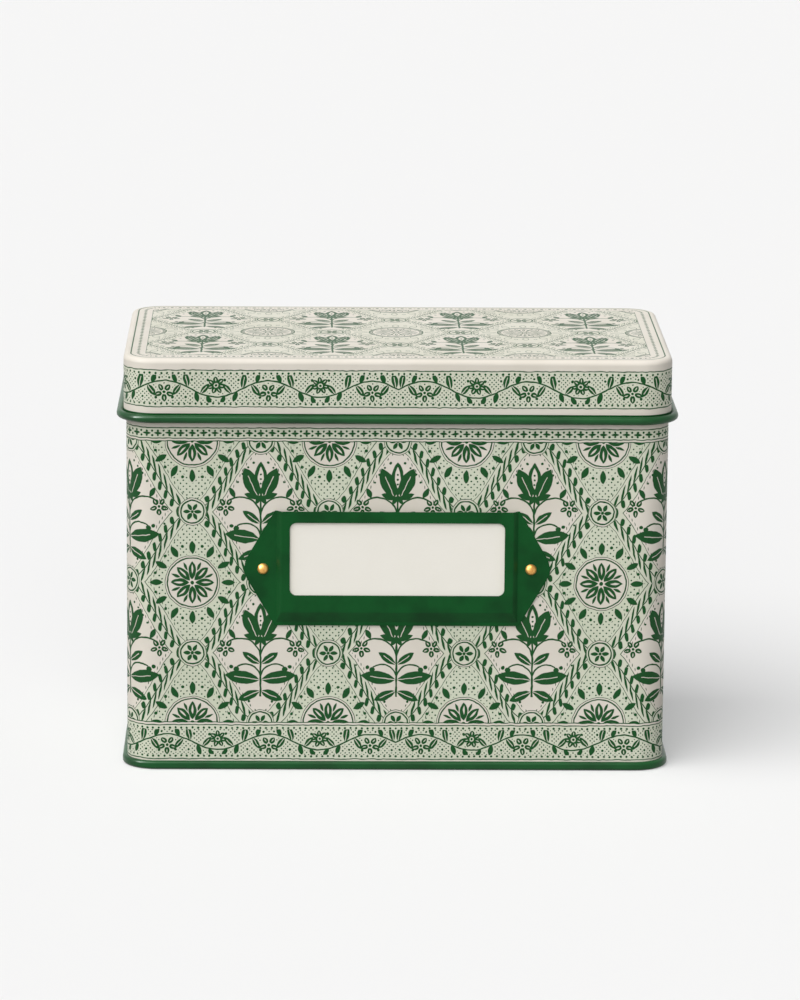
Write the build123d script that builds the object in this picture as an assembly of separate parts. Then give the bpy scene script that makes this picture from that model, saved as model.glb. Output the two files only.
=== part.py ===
from build123d import *
import os
from math import atan2, cos, hypot, radians, sin, tan

# A lithographed tin box for index cards: a seamed can body, a deep lid hinged on a wire
# along its rear rim, and a pressed label holder riveted to the front.
# Millimetres.  +X is to the right, -Y is the front, +Z is up, z = 0 is the table.

# ---- driving dimensions ------------------------------------------------------------

BODY_LENGTH = 169.0        # outside of the can wall, left to right
BODY_DEPTH = 94.0          # outside of the can wall, front to back
BODY_CORNER = 9.25         # outside radius of the upright corners
TIN_HEIGHT = 131.0         # table to the top of the closed lid
SHEET = 0.30               # tinplate of the can and the lid

# neck: the can wall steps in under the lid, so that the lid can swing over it
NECK_ABOVE_RIM = 2.1       # underside of the lid's rim to where the wall steps in
NECK_INSET = 1.8
NECK_STEP_RISE = 2.5
HEM_DROP = 3.0             # depth of the folded edge at the mouth
LOCK_SEAM_WIDTH = 5.0      # upright seam inside the rear wall
LOCK_SEAM_DROP = 7.6       # top of that seam below the neck

# base
BASE_SHEET = 0.30
SEAM_REACH = 1.5           # how far the bottom seam stands out of the wall
SEAM_HEIGHT = 2.6
SEAM_ROUND = 0.9
BASE_RISE = 2.2            # the base panel is held this far above the table
BASE_STEP_RISE = 0.7       # the middle of the panel is pressed up again
BASE_STEP_INSET = 9.0
BASE_STEP_RUN = 1.4        # width of the slope up to the middle
BASE_STEP_CORNER = 6.0
HOOK_GAP = 0.1             # wall flange to the inside of the seam

# lid
LID_HEIGHT = 20.0          # top of the lid to the underside of its rim
LID_GAP = 0.50             # can wall to the inside of the lid's skirt
LID_EDGE_ROUND = 1.6
LID_SEAT_GAP = 0.3         # mouth of the can to the underside of the lid
RIM_RADIUS = 1.25          # outside radius of the rolled rim
RIM_CURL = 310.0           # degrees that the rim is rolled through

# hinge at the back
WIRE_LENGTH = 144.0
WIRE_CLEARANCE = 0.05      # radial, in the rolled rim and in the leaves
LEAF_SPACING = 92.0        # centre to centre
LEAF_WIDTH = 16.0
LEAF_HEIGHT = 12.0         # flat part, downwards from the hinge axis
LEAF_SHEET = 0.30
LEAF_SIDE_GAP = 0.3        # leaf to each end of its notch in the rim
LEAF_ROUND = 2.0
LEAF_CURL_START = 170.0    # degrees, 0 is to the rear and 90 is up
LEAF_CURL_SIZE = 216.0     # its free edge stops the lid at its limit of 110 degrees
LEAF_WEB_ANGLES = (222.0, 188.0)   # where the flat part runs into the curl
NOTCH_LIP = 0.6            # skirt's edge above the hinge axis, in the notch
LEAF_RIVET_SPACING = 9.0
LEAF_RIVET_DROP = 7.2      # below the hinge axis

# label holder
HOLDER_WIDTH = 76.2        # raised pocket, where it meets the wall
HOLDER_EAR = 9.45          # how far each ear reaches beyond the pocket
HOLDER_BOTTOM = 46.5
HOLDER_HEIGHT = 36.6
HOLDER_SHEET = 0.5
HOLDER_STAND_OFF = 2.0
HOLDER_SIDE_RUN = 1.9      # width of each sloping side
HOLDER_BEVEL_RISE = 4.5    # height of the sloping bottom
HOLDER_FRONT_ROUND = 0.8
HOLDER_TIP_ROUND = 7.5
WINDOW_SIDE_BORDER = 4.65
WINDOW_TOP_BORDER = 3.5
WINDOW_BOTTOM_BORDER = 9.9
WINDOW_ROUND = 2.1
HOLDER_RIVET_OUT = 3.65    # side of the pocket to a rivet
HOLDER_RIVET_DROP = 0.2    # rivets below the tips of the ears

# label card
CARD_THICKNESS = 0.4
CARD_FRONT_GAP = 0.1       # card to the back of the holder's front
CARD_SIDE_GAP = 0.25
CARD_SEAT_GAP = 0.1
CARD_TOP_DROP = 1.5        # top of the card below the holder's open top
CARD_ROUND = 1.0

# rivets: head radius, head height, shank radius, tail radius, tail height
HOLDER_RIVET = (1.75, 1.2, 1.0, 1.45, 0.4)
LEAF_RIVET = (1.5, 0.6, 0.8, 1.2, 0.35)
RIVET_CLEARANCE = 0.05

# ---- places that follow from them ----------------------------------------------------

LID_LENGTH = BODY_LENGTH + 2 * (LID_GAP + SHEET)
LID_DEPTH = BODY_DEPTH + 2 * (LID_GAP + SHEET)
LID_CORNER = BODY_CORNER + LID_GAP + SHEET
RIM_BORE = RIM_RADIUS - SHEET
AXIS_Y = LID_DEPTH / 2 - SHEET + RIM_RADIUS
AXIS_Z = TIN_HEIGHT - LID_HEIGHT + RIM_RADIUS
NECK_START = TIN_HEIGHT - LID_HEIGHT + NECK_ABOVE_RIM
FRONT_WALL = -BODY_DEPTH / 2
REAR_WALL = BODY_DEPTH / 2
HOLDER_TOP = HOLDER_BOTTOM + HOLDER_HEIGHT
HOLDER_FRONT = FRONT_WALL - HOLDER_STAND_OFF
POCKET_DEPTH = HOLDER_STAND_OFF - HOLDER_SHEET
HOLDER_TIP_WIDTH = HOLDER_WIDTH + 2 * HOLDER_EAR
HOLDER_MIDDLE = HOLDER_BOTTOM + HOLDER_HEIGHT / 2
HOLDER_RIVET_SPACING = HOLDER_WIDTH + 2 * HOLDER_RIVET_OUT
WINDOW_WIDTH = HOLDER_WIDTH - 2 * WINDOW_SIDE_BORDER
WINDOW_HEIGHT = HOLDER_HEIGHT - WINDOW_TOP_BORDER - WINDOW_BOTTOM_BORDER
WINDOW_CENTRE = HOLDER_BOTTOM + WINDOW_BOTTOM_BORDER + WINDOW_HEIGHT / 2


# ---- shared shapes ---------------------------------------------------------------------

def rounded_slab(length, depth, corner, low, high):
    """Upright block with a rounded rectangular plan."""
    plan = Plane.XY.offset(low) * RectangleRounded(length, depth, corner)
    return extrude(plan, high - low)


def box_between(low, high):
    """Plain block from its lowest corner to its highest corner."""
    size = [b - a for a, b in zip(low, high)]
    centre = [(a + b) / 2 for a, b in zip(low, high)]
    return Pos(*centre) * Box(*size)


def carried_round(profile, length, depth, corner):
    """Carry a (reach, height) profile round a rounded rectangle that lies at reach 0.

    One quarter is made of two straight runs and a turned corner, and mirrored twice.
    """
    turn_x = length / 2 - corner
    turn_y = depth / 2 - corner
    at_side = Plane(origin=(length / 2, turn_y, 0), x_dir=(1, 0, 0), z_dir=(0, -1, 0))
    at_back = Plane(origin=(turn_x, depth / 2, 0), x_dir=(0, 1, 0), z_dir=(1, 0, 0))
    side_run = extrude(at_side * profile, turn_y)
    back_run = extrude(at_back * profile, -turn_x)
    turn = revolve(at_side * profile, Axis((turn_x, turn_y, 0), (0, 0, 1)), 90)
    quarter = side_run + turn + back_run
    half = quarter + mirror(quarter, about=Plane.YZ)
    return half + mirror(half, about=Plane.XZ)


def polar(centre, radius, angle):
    """Point at an angle in degrees round a centre."""
    return (centre[0] + radius * cos(radians(angle)), centre[1] + radius * sin(radians(angle)))


def curl_face(centre, outer, inner, start, size):
    """Section of a rolled edge: a ring with a slit."""
    outside = CenterArc(centre, outer, start, size)
    inside = CenterArc(centre, inner, start, size)
    ends = [Line(polar(centre, inner, a), polar(centre, outer, a)) for a in (start, start + size)]
    return make_face([outside, inside] + ends)


def rivet(head_radius, head_height, shank_radius, tail_radius, tail_height, grip):
    """Domed rivet along Z: the head's underside is at z = 0, the tail is clinched below."""
    ball = (head_radius ** 2 + head_height ** 2) / (2 * head_height)
    half_turn = atan2(head_radius, ball - head_height) / 2
    middle = (ball * sin(half_turn), head_height - ball * (1 - cos(half_turn)))
    dome = ThreePointArc((0, head_height), middle, (head_radius, 0))
    rest = Polyline(
        (head_radius, 0),
        (shank_radius, 0),
        (shank_radius, -grip),
        (tail_radius, -grip),
        (tail_radius, -grip - tail_height),
        (0, -grip - tail_height),
        (0, head_height),
    )
    section = Plane.XZ * make_face([dome, rest])
    return revolve(section, Axis.Z, 360)


def rivet_hole(spec, place):
    """Clearance hole for a rivet's shank, through everything near its place."""
    head_height, shank_radius, tail_height = spec[1], spec[2], spec[4]
    drilled = 2 * (head_height + tail_height + HOLDER_SHEET + SHEET)
    return place * Cylinder(shank_radius + RIVET_CLEARANCE, drilled)


# ---- where the rivets go ----------------------------------------------------------------

def holder_rivet_places():
    """On the outside of the front wall, with Z pointing to the front."""
    return [
        Plane(origin=(side * HOLDER_RIVET_SPACING / 2, FRONT_WALL,
                      HOLDER_MIDDLE - HOLDER_RIVET_DROP),
              x_dir=(1, 0, 0), z_dir=(0, -1, 0))
        for side in (-1, 1)
    ]


def leaf_rivet_places():
    """On the outside of the rear wall, with Z pointing to the rear."""
    return [
        Plane(origin=(leaf * LEAF_SPACING / 2 + side * LEAF_RIVET_SPACING / 2, REAR_WALL,
                      AXIS_Z - LEAF_RIVET_DROP),
              x_dir=(-1, 0, 0), z_dir=(0, 1, 0))
        for leaf in (-1, 1)
        for side in (-1, 1)
    ]


# ---- can ----------------------------------------------------------------------------------

def body_profile():
    """Wall from the hook inside the bottom seam to the folded edge at the mouth."""
    roll = (SEAM_REACH - SEAM_ROUND, SEAM_ROUND)
    hook_round = SEAM_ROUND - BASE_SHEET - HOOK_GAP
    hook = roll[0] + hook_round
    hook_top = SEAM_HEIGHT - SEAM_ROUND
    foot = BASE_SHEET + HOOK_GAP
    step_top = NECK_START + NECK_STEP_RISE
    bend = SHEET * tan(atan2(NECK_INSET, NECK_STEP_RISE) / 2)
    mouth = TIN_HEIGHT - SHEET - LID_SEAT_GAP
    fold_start = mouth - SHEET
    return make_face([
        CenterArc(roll, hook_round, -90, 90),
        Polyline((hook, SEAM_ROUND), (hook, hook_top), (hook - SHEET, hook_top),
                 (hook - SHEET, SEAM_ROUND)),
        CenterArc(roll, hook_round - SHEET, -90, 90),
        Polyline((roll[0], foot + SHEET), (0, foot + SHEET), (0, NECK_START),
                 (-NECK_INSET, step_top), (-NECK_INSET, fold_start)),
        CenterArc((-NECK_INSET - SHEET, fold_start), SHEET, 0, 180),
        Polyline((-NECK_INSET - 2 * SHEET, fold_start),
                 (-NECK_INSET - 2 * SHEET, mouth - HEM_DROP),
                 (-NECK_INSET - SHEET, mouth - HEM_DROP),
                 (-NECK_INSET - SHEET, step_top - bend),
                 (-SHEET, NECK_START - bend), (-SHEET, foot), (roll[0], foot)),
    ])


def body_wall():
    """Can wall with its neck, its bottom flange and the lock seam inside the rear wall."""
    wall = carried_round(body_profile(), BODY_LENGTH, BODY_DEPTH, BODY_CORNER)
    inner_face = REAR_WALL - SHEET
    seam_low = BASE_RISE + BASE_SHEET
    wall += box_between(
        (-LOCK_SEAM_WIDTH / 2, inner_face - SHEET, seam_low),
        (LOCK_SEAM_WIDTH / 2, inner_face, NECK_START - LOCK_SEAM_DROP),
    )
    for place in holder_rivet_places():
        wall -= rivet_hole(HOLDER_RIVET, place)
    for place in leaf_rivet_places():
        wall -= rivet_hole(LEAF_RIVET, place)
    return wall


def seam_profile():
    """Bottom seam: the chuck wall inside the can, the flat foot, and the roll outside."""
    reach = SEAM_REACH
    roll_x = reach - SEAM_ROUND
    roll_top = SEAM_HEIGHT - SEAM_ROUND
    inner_round = SEAM_ROUND - BASE_SHEET
    panel_top = BASE_RISE + BASE_SHEET
    edges = [
        Line((-SHEET - BASE_SHEET, 0), (roll_x, 0)),
        CenterArc((roll_x, SEAM_ROUND), SEAM_ROUND, -90, 90),
        CenterArc((roll_x, roll_top), SEAM_ROUND, 0, 90),
        Polyline((roll_x, SEAM_HEIGHT), (0, SEAM_HEIGHT), (0, SEAM_HEIGHT - BASE_SHEET),
                 (roll_x, SEAM_HEIGHT - BASE_SHEET)),
        CenterArc((roll_x, roll_top), inner_round, 0, 90),
        Polyline((reach - BASE_SHEET, roll_top), (reach - BASE_SHEET, SEAM_ROUND)),
        CenterArc((roll_x, SEAM_ROUND), inner_round, -90, 90),
        Polyline((roll_x, BASE_SHEET), (-SHEET, BASE_SHEET), (-SHEET, panel_top),
                 (-SHEET - BASE_SHEET, panel_top), (-SHEET - BASE_SHEET, 0)),
    ]
    if roll_top > SEAM_ROUND:
        edges.append(Line((reach, SEAM_ROUND), (reach, roll_top)))
    return make_face(edges)


def base_pan():
    """Base seamed to the can, its panel held off the table and pressed up in the middle."""
    length = BODY_LENGTH - 2 * SHEET
    depth = BODY_DEPTH - 2 * SHEET
    step_length = length - 2 * BASE_STEP_INSET
    step_depth = depth - 2 * BASE_STEP_INSET
    low = BASE_RISE
    high = BASE_RISE + BASE_STEP_RISE
    border = rounded_slab(length, depth, BODY_CORNER - SHEET, low, low + BASE_SHEET)
    border -= rounded_slab(step_length, step_depth, BASE_STEP_CORNER, low, low + BASE_SHEET)
    slope = make_face(Polyline((0, low), (0, low + BASE_SHEET), (-BASE_STEP_RUN, high + BASE_SHEET),
                               (-BASE_STEP_RUN, high), close=True))
    middle = rounded_slab(step_length - 2 * BASE_STEP_RUN, step_depth - 2 * BASE_STEP_RUN,
                          BASE_STEP_CORNER - BASE_STEP_RUN, high, high + BASE_SHEET)
    pan = carried_round(seam_profile(), BODY_LENGTH, BODY_DEPTH, BODY_CORNER)
    pan += border
    pan += carried_round(slope, step_length, step_depth, BASE_STEP_CORNER)
    return pan + middle


# ---- lid ------------------------------------------------------------------------------------

def lid_profile():
    """Skirt from the rolled rim to the rounded edge of the top."""
    rim = (RIM_RADIUS - SHEET, AXIS_Z)
    shoulder = TIN_HEIGHT - LID_EDGE_ROUND
    edge = (-LID_EDGE_ROUND, shoulder)
    return make_face([
        Line((-LID_EDGE_ROUND, TIN_HEIGHT - SHEET), (-LID_EDGE_ROUND, TIN_HEIGHT)),
        CenterArc(edge, LID_EDGE_ROUND, 0, 90),
        Line((0, shoulder), (0, AXIS_Z)),
        CenterArc(rim, RIM_BORE, 180, RIM_CURL),
        Line(polar(rim, RIM_BORE, 180 + RIM_CURL), polar(rim, RIM_RADIUS, 180 + RIM_CURL)),
        CenterArc(rim, RIM_RADIUS, 180, RIM_CURL),
        Line((-SHEET, AXIS_Z), (-SHEET, shoulder)),
        CenterArc(edge, LID_EDGE_ROUND - SHEET, 0, 90),
    ])


def hinge_notch(centre_x):
    """Room for a leaf: the rolled rim goes, and the skirt stops just above the axis."""
    half = LEAF_WIDTH / 2 + LEAF_SIDE_GAP
    skirt_face = LID_DEPTH / 2
    low = AXIS_Z - 2 * RIM_RADIUS
    behind = skirt_face + 3 * RIM_RADIUS
    rim = box_between((centre_x - half, skirt_face, low),
                      (centre_x + half, behind, AXIS_Z + 2 * RIM_RADIUS))
    skirt = box_between((centre_x - half, skirt_face - 2 * SHEET, low),
                        (centre_x + half, behind, AXIS_Z + NOTCH_LIP))
    return rim + skirt


def lid_shell():
    """Drawn lid: flat top, rounded edge, skirt and rolled rim, notched for the leaves."""
    lid = carried_round(lid_profile(), LID_LENGTH, LID_DEPTH, LID_CORNER)
    lid += rounded_slab(
        LID_LENGTH - 2 * LID_EDGE_ROUND,
        LID_DEPTH - 2 * LID_EDGE_ROUND,
        LID_CORNER - LID_EDGE_ROUND,
        TIN_HEIGHT - SHEET,
        TIN_HEIGHT,
    )
    for side in (-1, 1):
        lid -= hinge_notch(side * LEAF_SPACING / 2)
    return lid


def hinge_wire():
    """Straight wire inside the rear run of the rolled rim."""
    place = Plane(origin=(0, AXIS_Y, AXIS_Z), x_dir=(0, 1, 0), z_dir=(1, 0, 0))
    return place * Cylinder(RIM_BORE - WIRE_CLEARANCE, WIRE_LENGTH)


def hinge_leaf(side):
    """Leaf flat on the rear wall, curled round the wire from below."""
    outer = RIM_BORE + LEAF_SHEET
    middle = RIM_BORE + LEAF_SHEET / 2
    wall = REAR_WALL - AXIS_Y
    face = wall + LEAF_SHEET
    plate_top = -outer - LEAF_SHEET
    centre_x = side * LEAF_SPACING / 2
    across = Plane(origin=(centre_x - LEAF_WIDTH / 2, AXIS_Y, AXIS_Z), x_dir=(0, 1, 0),
                   z_dir=(1, 0, 0))
    plate = make_face(Polyline((wall, -LEAF_HEIGHT), (face, -LEAF_HEIGHT), (face, plate_top),
                               (wall, plate_top), close=True))
    web = make_face(Polyline((wall, plate_top - LEAF_SHEET), (face, plate_top - LEAF_SHEET),
                             *(polar((0, 0), middle, angle) for angle in LEAF_WEB_ANGLES),
                             (wall, plate_top + LEAF_SHEET), close=True))
    curl = curl_face((0, 0), outer, RIM_BORE, LEAF_CURL_START, LEAF_CURL_SIZE)
    flat = extrude(across * plate, LEAF_WIDTH)
    corners = flat.edges().filter_by(Axis.Y).group_by(Axis.Z)[0]
    leaf = fillet(corners, LEAF_ROUND)
    leaf += extrude(across * web, LEAF_WIDTH)
    leaf += extrude(across * curl, LEAF_WIDTH)
    for place in leaf_rivet_places():
        leaf -= rivet_hole(LEAF_RIVET, place)
    return leaf


def leaf_rivets():
    """Two small rivets through each leaf and the rear wall."""
    return [
        place * Pos(0, 0, LEAF_SHEET) * rivet(*LEAF_RIVET, grip=LEAF_SHEET + SHEET)
        for place in leaf_rivet_places()
    ]


# ---- label holder ------------------------------------------------------------------------------

def sloped_block(half_wall, half_front, depth, bottom_wall, bottom_front, top):
    """Block on the front wall with sloping sides and a sloping bottom."""
    plan = make_face(Polyline((-half_wall, FRONT_WALL), (-half_front, FRONT_WALL - depth),
                              (half_front, FRONT_WALL - depth), (half_wall, FRONT_WALL),
                              close=True))
    side = make_face(Polyline((FRONT_WALL, bottom_wall), (FRONT_WALL - depth, bottom_front),
                              (FRONT_WALL - depth, top), (FRONT_WALL, top), close=True))
    upright = extrude(Plane.XY.offset(bottom_wall) * plan, top - bottom_wall)
    across = Plane(origin=(-half_wall, 0, 0), x_dir=(0, 1, 0), z_dir=(1, 0, 0))
    return upright & extrude(across * side, 2 * half_wall)


def pocket_sizes():
    """Inside of the pocket: half widths at the wall and at the front, and bottom heights."""
    side_slope = HOLDER_SIDE_RUN / HOLDER_STAND_OFF
    bottom_slope = HOLDER_BEVEL_RISE / HOLDER_STAND_OFF
    half_wall = HOLDER_WIDTH / 2 - HOLDER_SHEET * hypot(1, side_slope)
    half_front = half_wall - side_slope * POCKET_DEPTH
    bottom_wall = HOLDER_BOTTOM + HOLDER_SHEET * hypot(1, bottom_slope)
    bottom_front = bottom_wall + bottom_slope * POCKET_DEPTH
    return half_wall, half_front, bottom_wall, bottom_front


def holder_ears():
    """Flat plate behind the pocket, drawn to a rounded point at each end for the rivets."""
    tip = HOLDER_TIP_WIDTH / 2 - HOLDER_TIP_ROUND
    rounds = [Pos(side * tip, HOLDER_MIDDLE) * Circle(HOLDER_TIP_ROUND) for side in (-1, 1)]
    behind_pocket = Pos(0, HOLDER_MIDDLE) * Rectangle(HOLDER_WIDTH, HOLDER_HEIGHT)
    outlines = [edge for shape in rounds + [behind_pocket] for edge in shape.edges()]
    on_wall = Plane(origin=(0, FRONT_WALL, 0), x_dir=(1, 0, 0), z_dir=(0, -1, 0))
    return extrude(on_wall * make_hull(outlines), HOLDER_SHEET)


def label_holder():
    """Pressed holder: a pocket open at the top, with a window, and an ear at each end."""
    half_wall, half_front, bottom_wall, bottom_front = pocket_sizes()
    outer = sloped_block(HOLDER_WIDTH / 2, HOLDER_WIDTH / 2 - HOLDER_SIDE_RUN, HOLDER_STAND_OFF,
                         HOLDER_BOTTOM, HOLDER_BOTTOM + HOLDER_BEVEL_RISE, HOLDER_TOP)
    at_front = outer.edges().filter_by_position(Axis.Y, HOLDER_FRONT, HOLDER_FRONT)
    outer = fillet(at_front.sort_by(Axis.Z)[:-1], HOLDER_FRONT_ROUND)
    pocket = sloped_block(half_wall, half_front, POCKET_DEPTH, bottom_wall, bottom_front,
                          HOLDER_TOP + HOLDER_SHEET)
    window_plane = Plane(origin=(0, FRONT_WALL, WINDOW_CENTRE), x_dir=(1, 0, 0), z_dir=(0, -1, 0))
    window = extrude(window_plane * RectangleRounded(WINDOW_WIDTH, WINDOW_HEIGHT, WINDOW_ROUND),
                     2 * HOLDER_STAND_OFF)
    holder = outer + holder_ears() - pocket - window
    for place in holder_rivet_places():
        holder -= rivet_hole(HOLDER_RIVET, place)
    return holder


def holder_rivets():
    """One domed rivet through each ear and the front wall."""
    return [
        place * Pos(0, 0, HOLDER_SHEET) * rivet(*HOLDER_RIVET, grip=HOLDER_SHEET + SHEET)
        for place in holder_rivet_places()
    ]


def label_card():
    """Card in the pocket, close behind the window, standing on the sloping bottom."""
    _, half_front, _, bottom_front = pocket_sizes()
    width = 2 * (half_front - CARD_SIDE_GAP)
    low = bottom_front + CARD_SEAT_GAP
    high = HOLDER_TOP - CARD_TOP_DROP
    front = HOLDER_FRONT + HOLDER_SHEET + CARD_FRONT_GAP
    plane = Plane(origin=(0, front, (low + high) / 2), x_dir=(1, 0, 0), z_dir=(0, 1, 0))
    return extrude(plane * RectangleRounded(width, high - low, CARD_ROUND), CARD_THICKNESS)


# ---- write every piece ---------------------------------------------------------------------------

PIECES = {
    "body_wall": body_wall(),
    "base_pan": base_pan(),
    "lid_shell": lid_shell(),
    "hinge_wire": hinge_wire(),
    "left_hinge_leaf": hinge_leaf(-1),
    "right_hinge_leaf": hinge_leaf(1),
    "hinge_rivets": Compound(children=leaf_rivets()),
    "label_holder": label_holder(),
    "holder_rivets": Compound(children=holder_rivets()),
    "label_card": label_card(),
}

os.makedirs("parts", exist_ok=True)
for name, piece in PIECES.items():
    export_step(piece, f"parts/{name}.step")
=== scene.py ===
from math import cos, pi, radians, sin, sqrt, tau

import bpy
from mathutils import Matrix, Vector

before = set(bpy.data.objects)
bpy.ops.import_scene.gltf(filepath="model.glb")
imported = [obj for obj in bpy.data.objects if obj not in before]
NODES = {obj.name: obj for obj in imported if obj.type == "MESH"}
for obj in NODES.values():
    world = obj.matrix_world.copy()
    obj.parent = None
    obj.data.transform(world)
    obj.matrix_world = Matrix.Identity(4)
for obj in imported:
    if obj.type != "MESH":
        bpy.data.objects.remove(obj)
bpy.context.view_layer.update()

MM = 0.001

# ---- sizes, in millimetres, that the print follows -------------------------------------

BODY = (84.5, 47.0, 9.25)      # half length, half depth and corner radius of the can wall
LID = (85.3, 47.8, 10.05)      # the same for the lid's skirt
LID_TOP = 131.0
LID_EDGE = 129.4               # where the rounded edge of the lid starts
RIM_TOP = 113.9                # upper edge of the green rim round the lid
NECK_START = 113.1             # where the can steps in under the lid
SHEET = 0.30
CARD_LOW = 51.7                # lower edge of the label card
CARD_HIGH = 81.6
CARD_HALF = 35.7


# ---- shader sockets with arithmetic ----------------------------------------------------

class Tree:
    """A node tree under construction: makes nodes, and sockets that take arithmetic."""

    def __init__(self, owner):
        owner.use_nodes = True
        self.owner = owner
        self.nodes = owner.node_tree.nodes
        self.links = owner.node_tree.links
        self.nodes.clear()

    def add(self, kind, settings=None, values=None):
        """Node of a kind: its settings first, then a value or a link for each named socket."""
        node = self.nodes.new(kind)
        for key, value in (settings or {}).items():
            setattr(node, key, value)
        for key, value in (values or {}).items():
            socket = node.inputs[key]
            if isinstance(value, S):
                self.links.new(value.socket, socket)
            else:
                socket.default_value = value
        return node

    def out(self, kind, settings=None, values=None, output=0):
        """The same, but hands back one of the node's outputs."""
        return S(self, self.add(kind, settings, values).outputs[output])

    def math(self, operation, *values, clamp=False):
        settings = {"operation": operation, "use_clamp": clamp}
        return self.out("ShaderNodeMath", settings, dict(enumerate(values)))

    def vector(self, x, y, z=0.0):
        return self.out("ShaderNodeCombineXYZ", None, {0: x, 1: y, 2: z})

    def parts(self, vector):
        node = self.add("ShaderNodeSeparateXYZ", None, {0: vector})
        return [S(self, socket) for socket in node.outputs]

    def mix(self, factor, a, b):
        """Colour a where factor is 0 and colour b where it is 1."""
        return self.out("ShaderNodeMix", {"data_type": "RGBA"},
                        {0: factor, 6: a, 7: b}, output=2)

    def mix_value(self, factor, a, b):
        """Value a where factor is 0 and value b where it is 1."""
        return self.out("ShaderNodeMix", {"data_type": "FLOAT"}, {0: factor, 2: a, 3: b})

    def noise(self, point, scale, detail=2.0, roughness=0.5):
        return self.out("ShaderNodeTexNoise", {"noise_dimensions": "3D"},
                        {"Vector": point, "Scale": scale, "Detail": detail,
                         "Roughness": roughness})

    def noise_colour(self, point, scale, detail=1.0):
        return self.out("ShaderNodeTexNoise", {"noise_dimensions": "3D"},
                        {"Vector": point, "Scale": scale, "Detail": detail}, output=1)


class S:
    """An output socket that can be added, multiplied and so on."""

    def __init__(self, tree, socket):
        self.tree = tree
        self.socket = socket

    def __add__(self, other):
        return self.tree.math("ADD", self, other)

    def __radd__(self, other):
        return self.tree.math("ADD", other, self)

    def __sub__(self, other):
        return self.tree.math("SUBTRACT", self, other)

    def __rsub__(self, other):
        return self.tree.math("SUBTRACT", other, self)

    def __mul__(self, other):
        return self.tree.math("MULTIPLY", self, other)

    def __rmul__(self, other):
        return self.tree.math("MULTIPLY", other, self)

    def __truediv__(self, other):
        return self.tree.math("DIVIDE", self, other)

    def __rtruediv__(self, other):
        return self.tree.math("DIVIDE", other, self)

    def __neg__(self):
        return self.tree.math("MULTIPLY", self, -1.0)

    def __abs__(self):
        return self.tree.math("ABSOLUTE", self)

    def least(self, other):
        return self.tree.math("MINIMUM", self, other)

    def most(self, other):
        return self.tree.math("MAXIMUM", self, other)

    def above(self, limit):
        return self.tree.math("GREATER_THAN", self, limit)

    def below(self, limit):
        return self.tree.math("LESS_THAN", self, limit)

    def cos(self):
        return self.tree.math("COSINE", self)

    def sin(self):
        return self.tree.math("SINE", self)

    def clamp(self):
        return self.tree.math("ADD", self, 0.0, clamp=True)

    def smooth(self, low, high):
        """0 at low, 1 at high, with a soft start and end."""
        settings = {"interpolation_type": "SMOOTHSTEP"}
        return self.tree.out("ShaderNodeMapRange", settings,
                             {0: self, 1: low, 2: high, 3: 0.0, 4: 1.0})


def length(t, x, y):
    return t.math("SQRT", x * x + y * y)


def least(parts):
    """Smallest of several distances: the union of their shapes."""
    shape = parts[0]
    for other in parts[1:]:
        shape = shape.least(other)
    return shape


# ---- drawing with distances: below zero is inside, in millimetres ----------------------

def linear(red, green, blue):
    """Linear colour from 0 to 255 screen values."""
    def one(value):
        value /= 255.0
        return value / 12.92 if value <= 0.04045 else ((value + 0.055) / 1.055) ** 2.4
    return (one(red), one(green), one(blue), 1.0)


def lens(t, x, y, half_length, half_width):
    """Pointed leaf along x."""
    big = (half_length ** 2 + half_width ** 2) / (2 * half_width)
    return length(t, x, abs(y) + (big - half_width)) - big


def placed(t, x, y, at, angle):
    """x and y measured from a place, along a direction in degrees."""
    moved = t.out("ShaderNodeMapping", {"vector_type": "TEXTURE"},
                  {"Vector": t.vector(x, y), "Location": (at[0], at[1], 0.0),
                   "Rotation": (0.0, 0.0, radians(angle))})
    return t.parts(moved)[:2]


def leaf(t, x, y, at, angle, size, vein=True):
    """Leaf from its foot, with a vein left bare."""
    half, wide = size[0] / 2, size[1] / 2
    u, v = placed(t, x, y, at, angle)
    shape = lens(t, u - half, v, half, wide)
    if vein:
        cut = (0.11 - abs(v)).least(half * 1.45 - u)
        shape = shape.most(cut)
    return shape


def dot(t, x, y, at, radius):
    return length(t, x - at[0], y - at[1]) - radius


def ring(t, x, y, at, radius, line):
    return abs(dot(t, x, y, at, radius)) - line


def fold(t, x, period):
    """Signed distance along x from the middle of the nearest repeat."""
    return t.math("WRAP", x, -period / 2, period / 2)


def beads(t, x, y, period, radius):
    """Row of dots along x."""
    return length(t, fold(t, x, period), y) - radius


def petals(t, x, y, count, turn, at_radius, half_length, half_width):
    """Ring of petals, folded into one by the angle round the middle."""
    angle = t.math("ARCTAN2", y, x)
    step = tau / count
    folded = t.math("WRAP", angle + turn, -step / 2, step / 2)
    reach = length(t, x, y)
    return lens(t, reach * folded.cos() - at_radius, reach * folded.sin(),
                half_length, half_width)


def flower(t, x, y, radius, count=5):
    """Open flower: veined petals, and an eye with a bare ring round it."""
    middle = length(t, x, y)
    open_petals = petals(t, x, y, count, 0.3, 0.60 * radius, 0.42 * radius, 0.27 * radius)
    vein = petals(t, x, y, count, 0.3, 0.66 * radius, 0.20 * radius, 0.05 * radius)
    eye = middle - 0.15 * radius
    return open_petals.most(-vein).most(0.26 * radius - middle).least(eye)


def ink(t, distance, soft=0.07):
    """1 inside a shape and 0 outside, with an edge as soft as printed ink."""
    return 1.0 - distance.smooth(-soft, soft)


# ---- where a point lies on the tin -----------------------------------------------------

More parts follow.
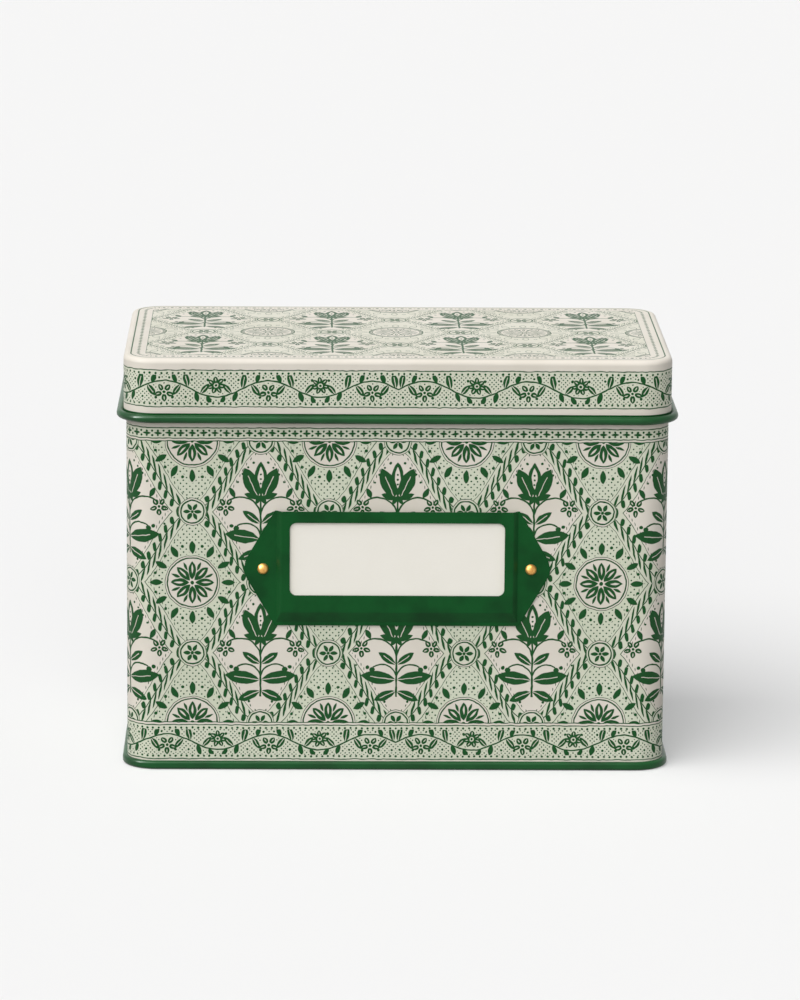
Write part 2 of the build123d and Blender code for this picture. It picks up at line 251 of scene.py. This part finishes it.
class Place:
    """A shaded point in millimetres, with its place round a rounded rectangle."""

    def __init__(self, t, plan):
        half_length, half_depth, corner = plan
        straight_x = half_length - corner
        straight_y = half_depth - corner
        self.t = t
        self.point = object_point(t)
        self.x, self.y, self.z = t.parts(self.point)
        along_x = abs(self.x)
        along_y = abs(self.y)
        turn_x = (along_x - straight_x).most(0.0)
        turn_y = (along_y - straight_y).most(0.0)
        outer = length(t, turn_x, turn_y)
        inner = (along_x - straight_x).most(along_y - straight_y).least(0.0)
        self.reach = outer + inner - corner
        turned = t.math("ARCTAN2", turn_x, turn_y)
        self.round = (along_x.least(straight_x) + turned * corner + straight_y
                      - along_y.least(straight_y))
        self.quarter = straight_x + straight_y + corner * pi / 2


def shaky(t, u, v, point):
    """The same place moved a little, as a drawn line wanders."""
    nudge = t.out("ShaderNodeVectorMath", {"operation": "SUBTRACT"},
                  {0: t.noise_colour(point, 0.45), 1: (0.5, 0.5, 0.5)})
    du, dv = t.parts(nudge)[:2]
    return u + du * 0.55, v + dv * 0.55


# ---- the printed pattern ---------------------------------------------------------------

FIELD = (14.9, 105.2)          # heights of the net on the can
CAN_VINE = (8.7, 4.1, 2.5)     # vine band low on the can: middle, half width, reach of the wave
CAN_VINE_EDGES = (3.2, 14.2)
CAN_TOP_ROWS = (105.9, 109.2)
CAN_TOP_MIDDLE = 107.55
LID_VINE = (121.7, 4.4, 2.6)
LID_VINE_EDGES = (116.0, 127.5)
TOP_INSET = 7.0                # from the lid's edge to the net on its top
TOP_BEADS = 4.6
TOP_LINE = 2.3
TOP_CELL = (40.8, 44.0)
TOP_SHIFT = (20.4, 22.0)
BEADS_IN_BAND = 18             # beads to each repeat of a vine

# leaves of the sprig: foot across and up, direction, length, width, vein
SPRIG_LEAVES = (
    (0.9, 4.6, 66.0, 10.2, 4.6, True), (0.2, 4.2, 18.0, 5.2, 2.0, False),
    (0.2, -8.6, 8.0, 11.0, 4.2, True), (0.2, -12.2, -24.0, 7.4, 2.9, True),
    (0.2, -3.6, 36.0, 6.6, 2.5, True), (1.6, 2.4, 118.0, 3.4, 1.5, False),
    (8.0, 4.5, 62.0, 3.6, 1.6, False),
)
# berries of the sprig: across, up, radius
SPRIG_DOTS = (
    (7.6, -5.3, 0.85), (9.1, -4.5, 0.62), (2.3, 15.6, 0.42), (3.9, 14.1, 0.34),
    (5.6, 12.0, 0.42), (7.1, 9.5, 0.34), (12.6, -3.8, 0.34), (3.6, -15.6, 0.42),
)


def with_leaves(t, drawn, u, v, leaves):
    for x, y, turned, size, wide, vein in leaves:
        drawn = drawn.least(leaf(t, u, v, (x, y), turned, (size, wide), vein))
    return drawn


def with_dots(t, drawn, u, v, dots):
    for x, y, radius in dots:
        drawn = drawn.least(dot(t, u, v, (x, y), radius))
    return drawn


def tulip_sprig(t, p, q):
    """Upright sprig, the same on both sides of its stem."""
    u = abs(p)
    drawn = (u - 0.32).most(abs(q + 4.0) - 10.0)
    drawn = drawn.least(ring(t, u, q, (6.3, -1.6), 6.3, 0.27).most(-1.6 - q).most(u - 10.6))
    drawn = drawn.least(ring(t, u, q, (4.6, -8.2), 4.6, 0.25).most(-8.2 - q).most(u - 7.4))
    drawn = drawn.least(lens(t, q - 10.6, u, 5.4, 2.0).most(-lens(t, q - 10.9, u, 3.4, 0.9)))
    drawn = drawn.least(beads(t, q - 10.4, u, 1.5, 0.33).most(abs(q - 10.4) - 2.6))
    drawn = drawn.least(flower(t, u - 10.9, q - 1.6, 2.9))
    return with_dots(t, with_leaves(t, drawn, u, q, SPRIG_LEAVES), u, q, SPRIG_DOTS)


def rosette(t, p, q):
    """Wheel of petals inside a ring, with leaves and berries round it."""
    reach = length(t, p, q)
    bloom = petals(t, p, q, 8, 0.0, 3.9, 2.9, 1.25)
    bloom = bloom.most(-petals(t, p, q, 8, 0.0, 4.3, 1.5, 0.28))
    between = petals(t, p, q, 8, pi / 8, 5.5, 1.5, 0.42)
    whorl = petals(t, p, q, 12, 0.0, 11.2, 2.1, 0.95)
    berries = petals(t, p, q, 12, pi / 12, 11.9, 0.5, 0.5)
    eye = reach - 0.62
    rings = (abs(reach - 7.8) - 0.22).least(abs(reach - 8.5) - 0.10)
    disc = reach - 8.5
    return least([bloom, between, eye, rings]), least([whorl, berries]), disc


def stipple(t, u, v, pitch, radius):
    """Staggered rows of fine dots."""
    first = length(t, fold(t, u, pitch), fold(t, v, pitch))
    second = length(t, fold(t, u + pitch / 2, pitch), fold(t, v + pitch / 2, pitch))
    return first.least(second) - radius


def curve_run(steepness):
    """Even and waving parts of the length along a cosine of that steepness."""
    count = 720
    steps = [tau * (i + 0.5) / count for i in range(count)]
    speeds = [sqrt(1 + (steepness * sin(a)) ** 2) for a in steps]
    even = sum(speeds) / count
    second = 2 * sum(v * cos(2 * a) for v, a in zip(speeds, steps)) / count
    fourth = 2 * sum(v * cos(4 * a) for v, a in zip(speeds, steps)) / count
    return even, second, fourth


def lattice(t, u, v, width, height, dotted=True):
    """Leaning net of leafy garlands round sprigs and rosettes: (ink, tint) in 0 to 1."""
    p = fold(t, u, width)
    q = fold(t, v, height)
    p_other = fold(t, u + width / 2, width)
    q_other = fold(t, v + height / 2, height)
    angle = p * (tau / width)
    steepness = height / 4 * tau / width
    slope = angle.sin() * steepness
    side = (abs(q) - (angle.cos() + 1.0) * (height / 4)) / t.math("SQRT", slope * slope + 1.0)
    even, second, fourth = curve_run(steepness)
    run = (angle * even + (angle * 2.0).sin() * (second / 2)
           + (angle * 4.0).sin() * (fourth / 4)) * (width / tau)
    whole = even * width
    pitch = whole / round(whole / 3.3)
    off = abs(side)
    along = fold(t, run, pitch)
    garland = (off - 0.16).least(
        leaf(t, along, off, (-1.5, 0.1), 38.0, (3.1, 1.3), vein=False))
    if dotted:
        garland = garland.least(abs(off - 2.75) - 0.10)
        garland = garland.least(length(t, fold(t, run, pitch / 2), off - 3.65) - 0.26)
    knot_a = length(t, p_other, q)
    knot_b = length(t, p, q_other)
    knot = knot_a.least(knot_b)
    small_a = petals(t, p_other, q, 6, 0.0, 1.7, 1.2, 0.62)
    small_b = petals(t, p, q_other, 6, 0.0, 1.7, 1.2, 0.62)
    knot_ink = least([small_a, small_b, knot - 0.5, abs(knot - 3.6) - 0.24,
                      abs(knot - 4.3) - 0.10])
    inside = side.below(0.0)
    centre, leaves, disc = rosette(t, p_other, q_other)
    if not dotted:
        centre, leaves = abs(centre) - 0.12, abs(leaves) - 0.10
        garland = abs(garland) - 0.10
    field_b = centre.least(leaves)
    if dotted:
        ground = stipple(t, u, v, 1.9, 0.25).most(3.9 - side)
        field_b = field_b.least(ground.most(-(disc - 0.5)).most(-(leaves - 0.4)))
    field_a = tulip_sprig(t, p, q)
    if not dotted:
        field_a = field_a.most(-(field_a + 0.9)).least(field_a + 1.6)
    drawn = t.mix_value(inside, field_b, field_a)
    drawn = drawn.least(garland)
    drawn = drawn.most(4.4 - knot).least(knot_ink)
    tint = (side - 2.75).smooth(-0.1, 0.1) * (disc.smooth(-0.1, 0.1))
    tint = tint * (knot - 4.4).smooth(-0.1, 0.1) * 0.62
    near = 1.0 - (off - 2.75).smooth(-0.3, 0.3)
    return ink(t, drawn), tint.most(near * 0.5)


# leaves along the vine: place in the repeat, direction, length, width
VINE_LEAVES = (
    (0.02, 78.0, 5.0, 1.9), (0.09, -52.0, 4.4, 1.8), (0.13, 66.0, 3.2, 1.5),
    (0.37, 112.0, 3.2, 1.5), (0.41, -124.0, 4.4, 1.8), (0.50, 100.0, 5.2, 2.0),
    (0.55, -70.0, 3.4, 1.5), (0.60, 46.0, 4.2, 1.7), (0.66, -58.0, 3.0, 1.4),
    (0.84, -118.0, 3.0, 1.4), (0.90, 132.0, 4.2, 1.7), (0.95, -104.0, 3.6, 1.6),
)
# berries by the vine: place in the repeat, height in reaches, radius
VINE_DOTS = (
    (0.17, -1.02, 0.46), (0.33, -1.05, 0.46), (0.20, 1.34, 0.34), (0.30, 1.34, 0.34),
    (0.67, 1.05, 0.46), (0.83, 1.02, 0.46), (0.70, -1.36, 0.34), (0.80, -1.36, 0.34),
    (0.46, -0.98, 0.38), (0.04, -1.0, 0.38), (0.54, 1.10, 0.38), (0.985, 1.05, 0.38),
)


def vine(t, u, v, period, reach):
    """Waving stem with flowers, buds, leaf sprays and berries, between two edges."""
    turn = tau / period
    p = t.math("WRAP", u, 0.0, period)
    angle = p * turn
    slope = angle.cos() * (reach * turn)
    stem = abs((v - angle.sin() * reach) / t.math("SQRT", slope * slope + 1.0)) - 0.24
    quarter = period / 4
    drawn = stem.least(flower(t, p - quarter, v + reach * 0.42, 2.95))
    drawn = drawn.least(flower(t, p - 3 * quarter, v - reach * 0.42, 2.75, 7))
    leaves = [(place * period, sin(place * tau) * reach, turned, size, wide, size > 4.0)
              for place, turned, size, wide in VINE_LEAVES]
    dots = [(place * period, height * reach, radius) for place, height, radius in VINE_DOTS]
    return with_dots(t, with_leaves(t, drawn, p, v, leaves), p, v, dots)


def grounded(t, drawn, u, v, period):
    """The same drawing on a ground of fine dots that keeps clear of it."""
    dots = stipple(t, u, v, period / 24, 0.23)
    return drawn.least(dots.most(0.42 - drawn))


def edge_rows(t, u, v, low, high, period):
    """Lines and bead rows along the lower and upper edge of a band."""
    parts = [abs(v - low) - 0.16, abs(v - high) - 0.16]
    parts.append(beads(t, u, v - (low + 0.95), period, 0.36))
    parts.append(beads(t, u, v - (high - 0.95), period, 0.36))
    return least(parts)


def between(value, low, high):
    return value.above(low) * value.below(high)


def vine_band(t, u, v, period, band, edges):
    """Vine on dotted ground, with lines and beads along both edges."""
    middle, half, reach = band
    drawn = grounded(t, vine(t, u, v - middle, period, reach), u, v, period)
    drawn = drawn.most(abs(v - middle) - half)
    return drawn.least(edge_rows(t, u, v, *edges, period / BEADS_IN_BAND))


def body_print(place):
    """Green print of the can: (ink, tint)."""
    t = place.t
    u, v = shaky(t, place.round, place.z, place.point)
    cell = place.quarter / 3
    low, high = FIELD
    net, tint = lattice(t, u, v - (low + (high - low) / 4), cell, (high - low) / 2)
    period = place.quarter / 4
    lower = vine_band(t, u, v, period, CAN_VINE, CAN_VINE_EDGES)
    upper = edge_rows(t, u, v, *CAN_TOP_ROWS, period / BEADS_IN_BAND).least(
        lens(t, fold(t, u, period / 9), v - CAN_TOP_MIDDLE, 1.3, 0.42))
    in_field = between(v, low, high)
    bands = ink(t, lower.least(upper)) * between(v, 2.9, 109.5)
    in_net = net.most(ink(t, abs(v - low) - 0.3).most(ink(t, abs(v - high) - 0.3)))
    band_tint = between(v, 3.3, 14.1).most(between(v, *CAN_TOP_ROWS)) * 0.55
    return t.mix_value(in_field, bands, in_net), t.mix_value(in_field, band_tint, tint)


def lid_print(place):
    """Green print of the lid: (ink, tint)."""
    t = place.t
    u, v = shaky(t, place.round, place.z, place.point)
    period = place.quarter / 4
    skirt = ink(t, vine_band(t, u, v, period, LID_VINE, LID_VINE_EDGES)) * between(v, 115.6, 127.9)
    x, y = shaky(t, place.x, place.y, place.point)
    inset = -place.reach
    net, tint = lattice(t, x + TOP_SHIFT[0], y + TOP_SHIFT[1], *TOP_CELL, dotted=False)
    in_net = inset.above(TOP_INSET)
    bead = period / 12
    border = least([
        abs(inset - TOP_LINE) - 0.20,
        abs(inset - TOP_INSET) - 0.16,
        beads(t, u, inset - TOP_BEADS, bead, 0.55),
        beads(t, u + bead / 2, inset - TOP_BEADS, bead, 0.26),
    ])
    top = t.mix_value(in_net, ink(t, border), net)
    on_top = place.z.above(LID_TOP - 0.5) * inset.above(1.9)
    band_tint = between(v, 116.1, 127.4) * 0.5
    return t.mix_value(on_top, skirt, top), t.mix_value(on_top, band_tint, tint * in_net * 0.4)


# ---- finishes --------------------------------------------------------------------------

def surface(t, colour, values, height=None, strength=0.1, distance=0.0002):
    """Principled surface with an optional bump, joined to the material's output."""
    inputs = {"Base Color": colour}
    inputs.update(values)
    if height is not None:
        inputs["Normal"] = t.out("ShaderNodeBump", None,
                                 {"Strength": strength, "Distance": distance, "Height": height})
    shader = t.out("ShaderNodeBsdfPrincipled", None, inputs)
    t.add("ShaderNodeOutputMaterial", None, {"Surface": shader})
    return t.owner


CREAM = linear(218, 212, 202)
CREAM_DEEP = linear(208, 202, 190)
INK = linear(4, 68, 25)
INK_PALE = linear(10, 84, 35)
INK_HALO = linear(170, 202, 160)
GREEN = linear(6, 74, 29)
GREEN_DEEP = linear(3, 60, 22)
# painted shade: dark green laid on the enamel at its foot, where it meets the floor
FOOT_SHADE = linear(20, 40, 26)
TIN = linear(196, 194, 186)
TIN_DARK = linear(158, 156, 150)
ZINC = linear(205, 204, 200)
ZINC_DULL = linear(150, 150, 148)
BRASS = linear(222, 172, 100)
BRASS_DULL = linear(190, 134, 68)
PAPER = linear(238, 235, 227)
PAPER_GREY = linear(224, 220, 209)
PAPER_YELLOW = linear(222, 215, 198)


def enamel_colour(t, point):
    """Mottled green enamel."""
    cloud = t.noise(point, 0.09, 3.0).smooth(0.35, 0.7)
    speck = t.noise(point, 1.9, 2.0).smooth(0.62, 0.72) * 0.5
    return t.mix(cloud.most(speck), GREEN, GREEN_DEEP)


def bare_tin(t, point):
    """Rolled tinplate: streaks along the sheet, and a faint bloom."""
    stretched = t.out("ShaderNodeMapping", None, {"Vector": point, "Scale": (0.05, 0.05, 2.4)})
    streak = t.noise(stretched, 1.0, 3.0)
    bloom = t.noise(point, 0.12, 2.0)
    colour = t.mix((streak * 0.7 + bloom * 0.3).smooth(0.32, 0.85), TIN, TIN_DARK)
    return colour, 0.30 + streak * 0.16


def printed_sheet(name, plan, print_of, is_outside, rim_top):
    """Tinplate printed outside and bare inside; above zero, rim_top is where a green rim ends."""
    t = Tree(bpy.data.materials.new(name))
    place = Place(t, plan)
    point = place.point
    inked, tint = print_of(place)
    cloud = t.noise(point, 0.05, 3.0)
    grain = t.noise(point, 5.0, 2.0)
    density = t.noise(point, 1.3, 3.0).smooth(0.25, 0.8)
    paper = t.mix(cloud.smooth(0.35, 0.7) * 0.6 + grain * 0.25, CREAM, CREAM_DEEP)
    paper = t.mix(tint * 0.5, paper, INK_HALO)
    colour = t.mix(density * 0.45, INK, INK_PALE)
    colour = t.mix(inked * 0.985, paper, colour)
    gloss = 0.07 - inked * 0.05
    if rim_top:
        on_rim = 1.0 - place.z.smooth(rim_top - 0.06, rim_top + 0.06)
        colour = t.mix(on_rim, colour, enamel_colour(t, point))
        gloss = gloss + on_rim * 0.33
    metal, metal_rough = bare_tin(t, point)
    outside = is_outside(place)
    colour = t.mix(outside, metal, colour)
    varnish = 0.36 + cloud * 0.08 + grain * 0.05 - inked * 0.03
    rough = t.mix_value(outside, metal_rough, varnish)
    height = t.noise(point, 0.7, 2.0) + inked * 0.08
    return surface(t, colour, {"Roughness": rough, "Metallic": 1.0 - outside,
                               "Coat Weight": outside * gloss,
                               "Coat Roughness": 0.2, "Specular IOR Level": 0.10},
                   height, 0.05, 0.0001)


def body_outside(place):
    return place.reach.above(-SHEET / 2) * place.z.below(NECK_START)


def lid_outside(place):
    t = place.t
    edge = LID_TOP - LID_EDGE
    from_edge = length(t, (place.reach + edge).most(0.0), (place.z - LID_EDGE).most(0.0)) - edge
    return from_edge.above(-SHEET / 2)


def object_point(t):
    """The shaded point in millimetres."""
    return t.out("ShaderNodeVectorMath", {"operation": "SCALE"},
                 {0: t.out("ShaderNodeTexCoord", output=3), "Scale": 1 / MM})


def worn_and_foot_shaded_enamel(t, point, z, worn):
    """Green enamel rubbed pale in spots, with painted shade darkening it at the foot: (colour,
    roughness, height).
    """
    colour = enamel_colour(t, point)
    rub = t.noise(point, 0.8, 4.0, 0.6).smooth(0.66, 0.74) * worn
    colour = t.mix(rub, colour, INK_PALE)
    # painted shade: darker over the lowest 0.9 mm, where the seam meets the floor
    foot_shade = (1.0 - z.smooth(0.0, 0.9)) * 0.35
    colour = t.mix(foot_shade, colour, FOOT_SHADE)
    rough = 0.30 + t.noise(point, 0.35, 3.0) * 0.16
    return colour, rough, t.noise(point, 1.1, 2.0)


def holder_enamel():
    """Satin green enamel all over."""
    t = Tree(bpy.data.materials.new("holder_enamel"))
    point = object_point(t)
    colour, rough, height = worn_and_foot_shaded_enamel(t, point, t.parts(point)[2], 0.12)
    return surface(t, colour, {
        "Roughness": rough, "Coat Weight": 0.08, "Coat Roughness": 0.16,
        "Specular IOR Level": 0.10}, height, 0.06, 0.0001)


def seamed_base():
    """Green enamel on the seam and the underside, bare tinplate on the inside."""
    t = Tree(bpy.data.materials.new("green_enamel"))
    place = Place(t, BODY)
    upward = t.parts(t.out("ShaderNodeTexCoord", output=1))[2].above(0.2)
    inside = upward * place.reach.below(-0.25) + place.reach.below(-0.8) * place.z.above(3.0)
    inside = inside.clamp()
    colour, rough, height = worn_and_foot_shaded_enamel(t, place.point, place.z, 0.25)
    metal, metal_rough = bare_tin(t, place.point)
    return surface(t, t.mix(inside, colour, metal), {
        "Roughness": t.mix_value(inside, rough, metal_rough), "Metallic": inside,
        "Coat Weight": (1.0 - inside) * 0.25, "Coat Roughness": 0.16,
        "Specular IOR Level": 0.15}, height, 0.06, 0.0001)


def steel():
    """Bright zinc: fine grain with duller patches."""
    t = Tree(bpy.data.materials.new("zinc_steel"))
    point = object_point(t)
    patch = t.noise(point, 0.6, 3.0)
    grain = t.noise(point, 7.0, 3.0)
    colour = t.mix((patch * 0.7 + grain * 0.4).smooth(0.4, 0.75), ZINC, ZINC_DULL)
    return surface(t, colour, {"Roughness": 0.26 + patch * 0.22, "Metallic": 1.0}, grain, 0.08)


def brass():
    """Polished brass, slightly tarnished."""
    t = Tree(bpy.data.materials.new("brass"))
    point = object_point(t)
    patch = t.noise(point, 0.9, 3.0)
    scratch = t.noise(t.out("ShaderNodeMapping", None,
                            {"Vector": point, "Scale": (6.0, 1.0, 0.7)}), 1.0, 3.0)
    colour = t.mix(patch.smooth(0.4, 0.75), BRASS, BRASS_DULL)
    return surface(t, colour, {"Roughness": 0.34 + scratch * 0.2, "Metallic": 1.0}, scratch, 0.06)


def paper():
    """Uncoated card: fibres and a slight yellowing towards the edges."""
    t = Tree(bpy.data.materials.new("card_paper"))
    point = object_point(t)
    x, _, z = t.parts(point)
    fibre = t.noise(t.out("ShaderNodeMapping", None,
                          {"Vector": point, "Scale": (0.8, 1.0, 3.2)}), 1.4, 4.0, 0.6)
    cloud = t.noise(point, 0.08, 2.0)
    edge = (abs(x) - (CARD_HALF - 4.0)).most(abs(z - (CARD_LOW + CARD_HIGH) / 2) - 11.5)
    colour = t.mix(fibre * 0.35 + cloud * 0.25, PAPER, PAPER_GREY)
    colour = t.mix(edge.smooth(-3.0, 4.0) * 0.3, colour, PAPER_YELLOW)
    return surface(t, colour, {"Roughness": 0.78 + fibre * 0.12}, fibre, 0.12, 0.0001)


def finish_node(name, material):
    """Give a CAD node its finish."""
    node = NODES[name]
    for slot in node.material_slots:
        slot.link = "OBJECT"
        slot.material = material


def paint():
    zinc = steel()
    finish_node("body_wall", printed_sheet("printed_can", BODY, body_print, body_outside, 0.0))
    finish_node("lid_shell", printed_sheet("printed_lid", LID, lid_print, lid_outside, RIM_TOP))
    finish_node("base_pan", seamed_base())
    finish_node("label_holder", holder_enamel())
    finish_node("holder_rivets", brass())
    finish_node("label_card", paper())
    for name in ("hinge_wire", "left_hinge_leaf", "right_hinge_leaf", "hinge_rivets"):
        finish_node(name, zinc)


# ---- floor, light and camera -----------------------------------------------------------

FLOOR_HALF = 12.0
FLOOR_BELOW_FEET = 0.00005
FLOOR_SEEN = (0.545, 0.545, 0.547, 1.0)
FLOOR_FOR_LIGHT = (0.30, 0.30, 0.295, 1.0)
FLOOR_GLOW = (0.301, 0.301, 0.301, 1.0)
BLACK = (0.0, 0.0, 0.0, 1.0)
BACKDROP = (0.939, 0.939, 0.939, 1.0)
ROOM = (0.97, 0.985, 1.0, 1.0)
ROOM_LIGHT = 0.25


def looked_at(t):
    """1 where the camera, a reflection or clear glass looks, 0 for soft light."""
    camera_ray, glossy_ray, clear_ray = [
        t.out("ShaderNodeLightPath", output=name)
        for name in ("Is Camera Ray", "Is Glossy Ray", "Is Transmission Ray")]
    return camera_ray.most(glossy_ray).most(clear_ray)


def floor():
    """Large plain sheet that the tin stands on; from below it is clear."""
    mesh = bpy.data.meshes.new("floor")
    half = FLOOR_HALF
    mesh.from_pydata([(-half, -half, 0), (half, -half, 0), (half, half, 0), (-half, half, 0)],
                     [], [(0, 1, 2, 3)])
    piece = bpy.data.objects.new("floor", mesh)
    bpy.context.scene.collection.objects.link(piece)
    piece.location.z = -FLOOR_BELOW_FEET
    t = Tree(bpy.data.materials.new("floor_paper"))
    seen = looked_at(t)
    colour = t.mix(seen, FLOOR_FOR_LIGHT, FLOOR_SEEN)
    glow = t.mix(seen, BLACK, FLOOR_GLOW)
    paper_side = t.out("ShaderNodeBsdfPrincipled", None, {
        "Base Color": colour, "Roughness": 0.9, "Specular IOR Level": 0.0,
        "Emission Color": glow, "Emission Strength": 1.0})
    clear_side = t.out("ShaderNodeBsdfTransparent")
    below = t.out("ShaderNodeNewGeometry", output=6)
    both = t.out("ShaderNodeMixShader", None, {0: below, 1: paper_side, 2: clear_side})
    t.add("ShaderNodeOutputMaterial", None, {"Surface": both})
    mesh.materials.append(t.owner)


def sun(name, towards, strength, spread, colour=(1.0, 1.0, 1.0), glossy=True):
    """Sunlight that shines along a direction."""
    light = bpy.data.lights.new(name, "SUN")
    light.energy = strength
    light.angle = radians(spread)
    light.color = colour
    lamp = bpy.data.objects.new(name, light)
    lamp.rotation_euler = Vector(towards).to_track_quat("-Z", "Y").to_euler()
    lamp.visible_glossy = glossy
    bpy.context.scene.collection.objects.link(lamp)


def softbox():
    """Tall soft lamp at the left that only shows as a gleam."""
    light = bpy.data.lights.new("softbox", "AREA")
    light.shape = "RECTANGLE"
    light.size, light.size_y = 0.35, 0.9
    light.energy = 30.0
    lamp = bpy.data.objects.new("softbox", light)
    lamp.location = (-1.1, -0.55, 0.75)
    lamp.rotation_euler = Vector((1.1, 0.5, -0.67)).to_track_quat("-Z", "Y").to_euler()
    lamp.visible_diffuse = False
    lamp.visible_camera = False
    bpy.context.scene.collection.objects.link(lamp)


def room():
    """Even light from all round, seen as a pale backdrop."""
    world = bpy.data.worlds.new("soft_room")
    bpy.context.scene.world = world
    t = Tree(world)
    backdrop = t.out("ShaderNodeBackground", None, {0: BACKDROP, 1: 1.0})
    light = t.out("ShaderNodeBackground", None, {0: ROOM, 1: ROOM_LIGHT})
    both = t.out("ShaderNodeMixShader", None, {0: looked_at(t), 1: light, 2: backdrop})
    t.add("ShaderNodeOutputWorld", None, {"Surface": both})


def lights():
    sun("key", (0.43, 0.34, -0.84), 2.84, 54.0, (1.0, 0.99, 0.975))
    sun("fill", (0.10, 1.0, -0.42), 1.20, 50.0, glossy=False)
    softbox()
    room()
    bpy.context.scene.view_settings.view_transform = "Standard"


# the photograph's camera, fitted to its edges
EYE = (-28.61, -1532.28, 408.90)   # millimetres
PITCH, YAW, ROLL = 12.241, 1.132, 0.478   # degrees
LENS = 176.095
SENSOR = 36.0


def camera():
    """The photograph's camera."""
    pitch, yaw, roll = radians(PITCH), radians(YAW), radians(ROLL)
    ahead = Vector((sin(yaw) * cos(pitch), cos(yaw) * cos(pitch), -sin(pitch)))
    right = Vector((cos(yaw), -sin(yaw), 0.0))
    up = right.cross(ahead)
    right_rolled = right * cos(roll) + up * sin(roll)
    up_rolled = up * cos(roll) - right * sin(roll)
    turn = Matrix((right_rolled, up_rolled, -ahead)).transposed().to_4x4()
    lens_data = bpy.data.cameras.new("camera")
    lens_data.lens = LENS
    lens_data.sensor_width = SENSOR
    lens_data.clip_end = 40.0
    eye = bpy.data.objects.new("camera", lens_data)
    eye.matrix_world = Matrix.Translation(Vector(EYE) * MM) @ turn
    bpy.context.scene.collection.objects.link(eye)
    bpy.context.scene.camera = eye


paint()
floor()
lights()
camera()
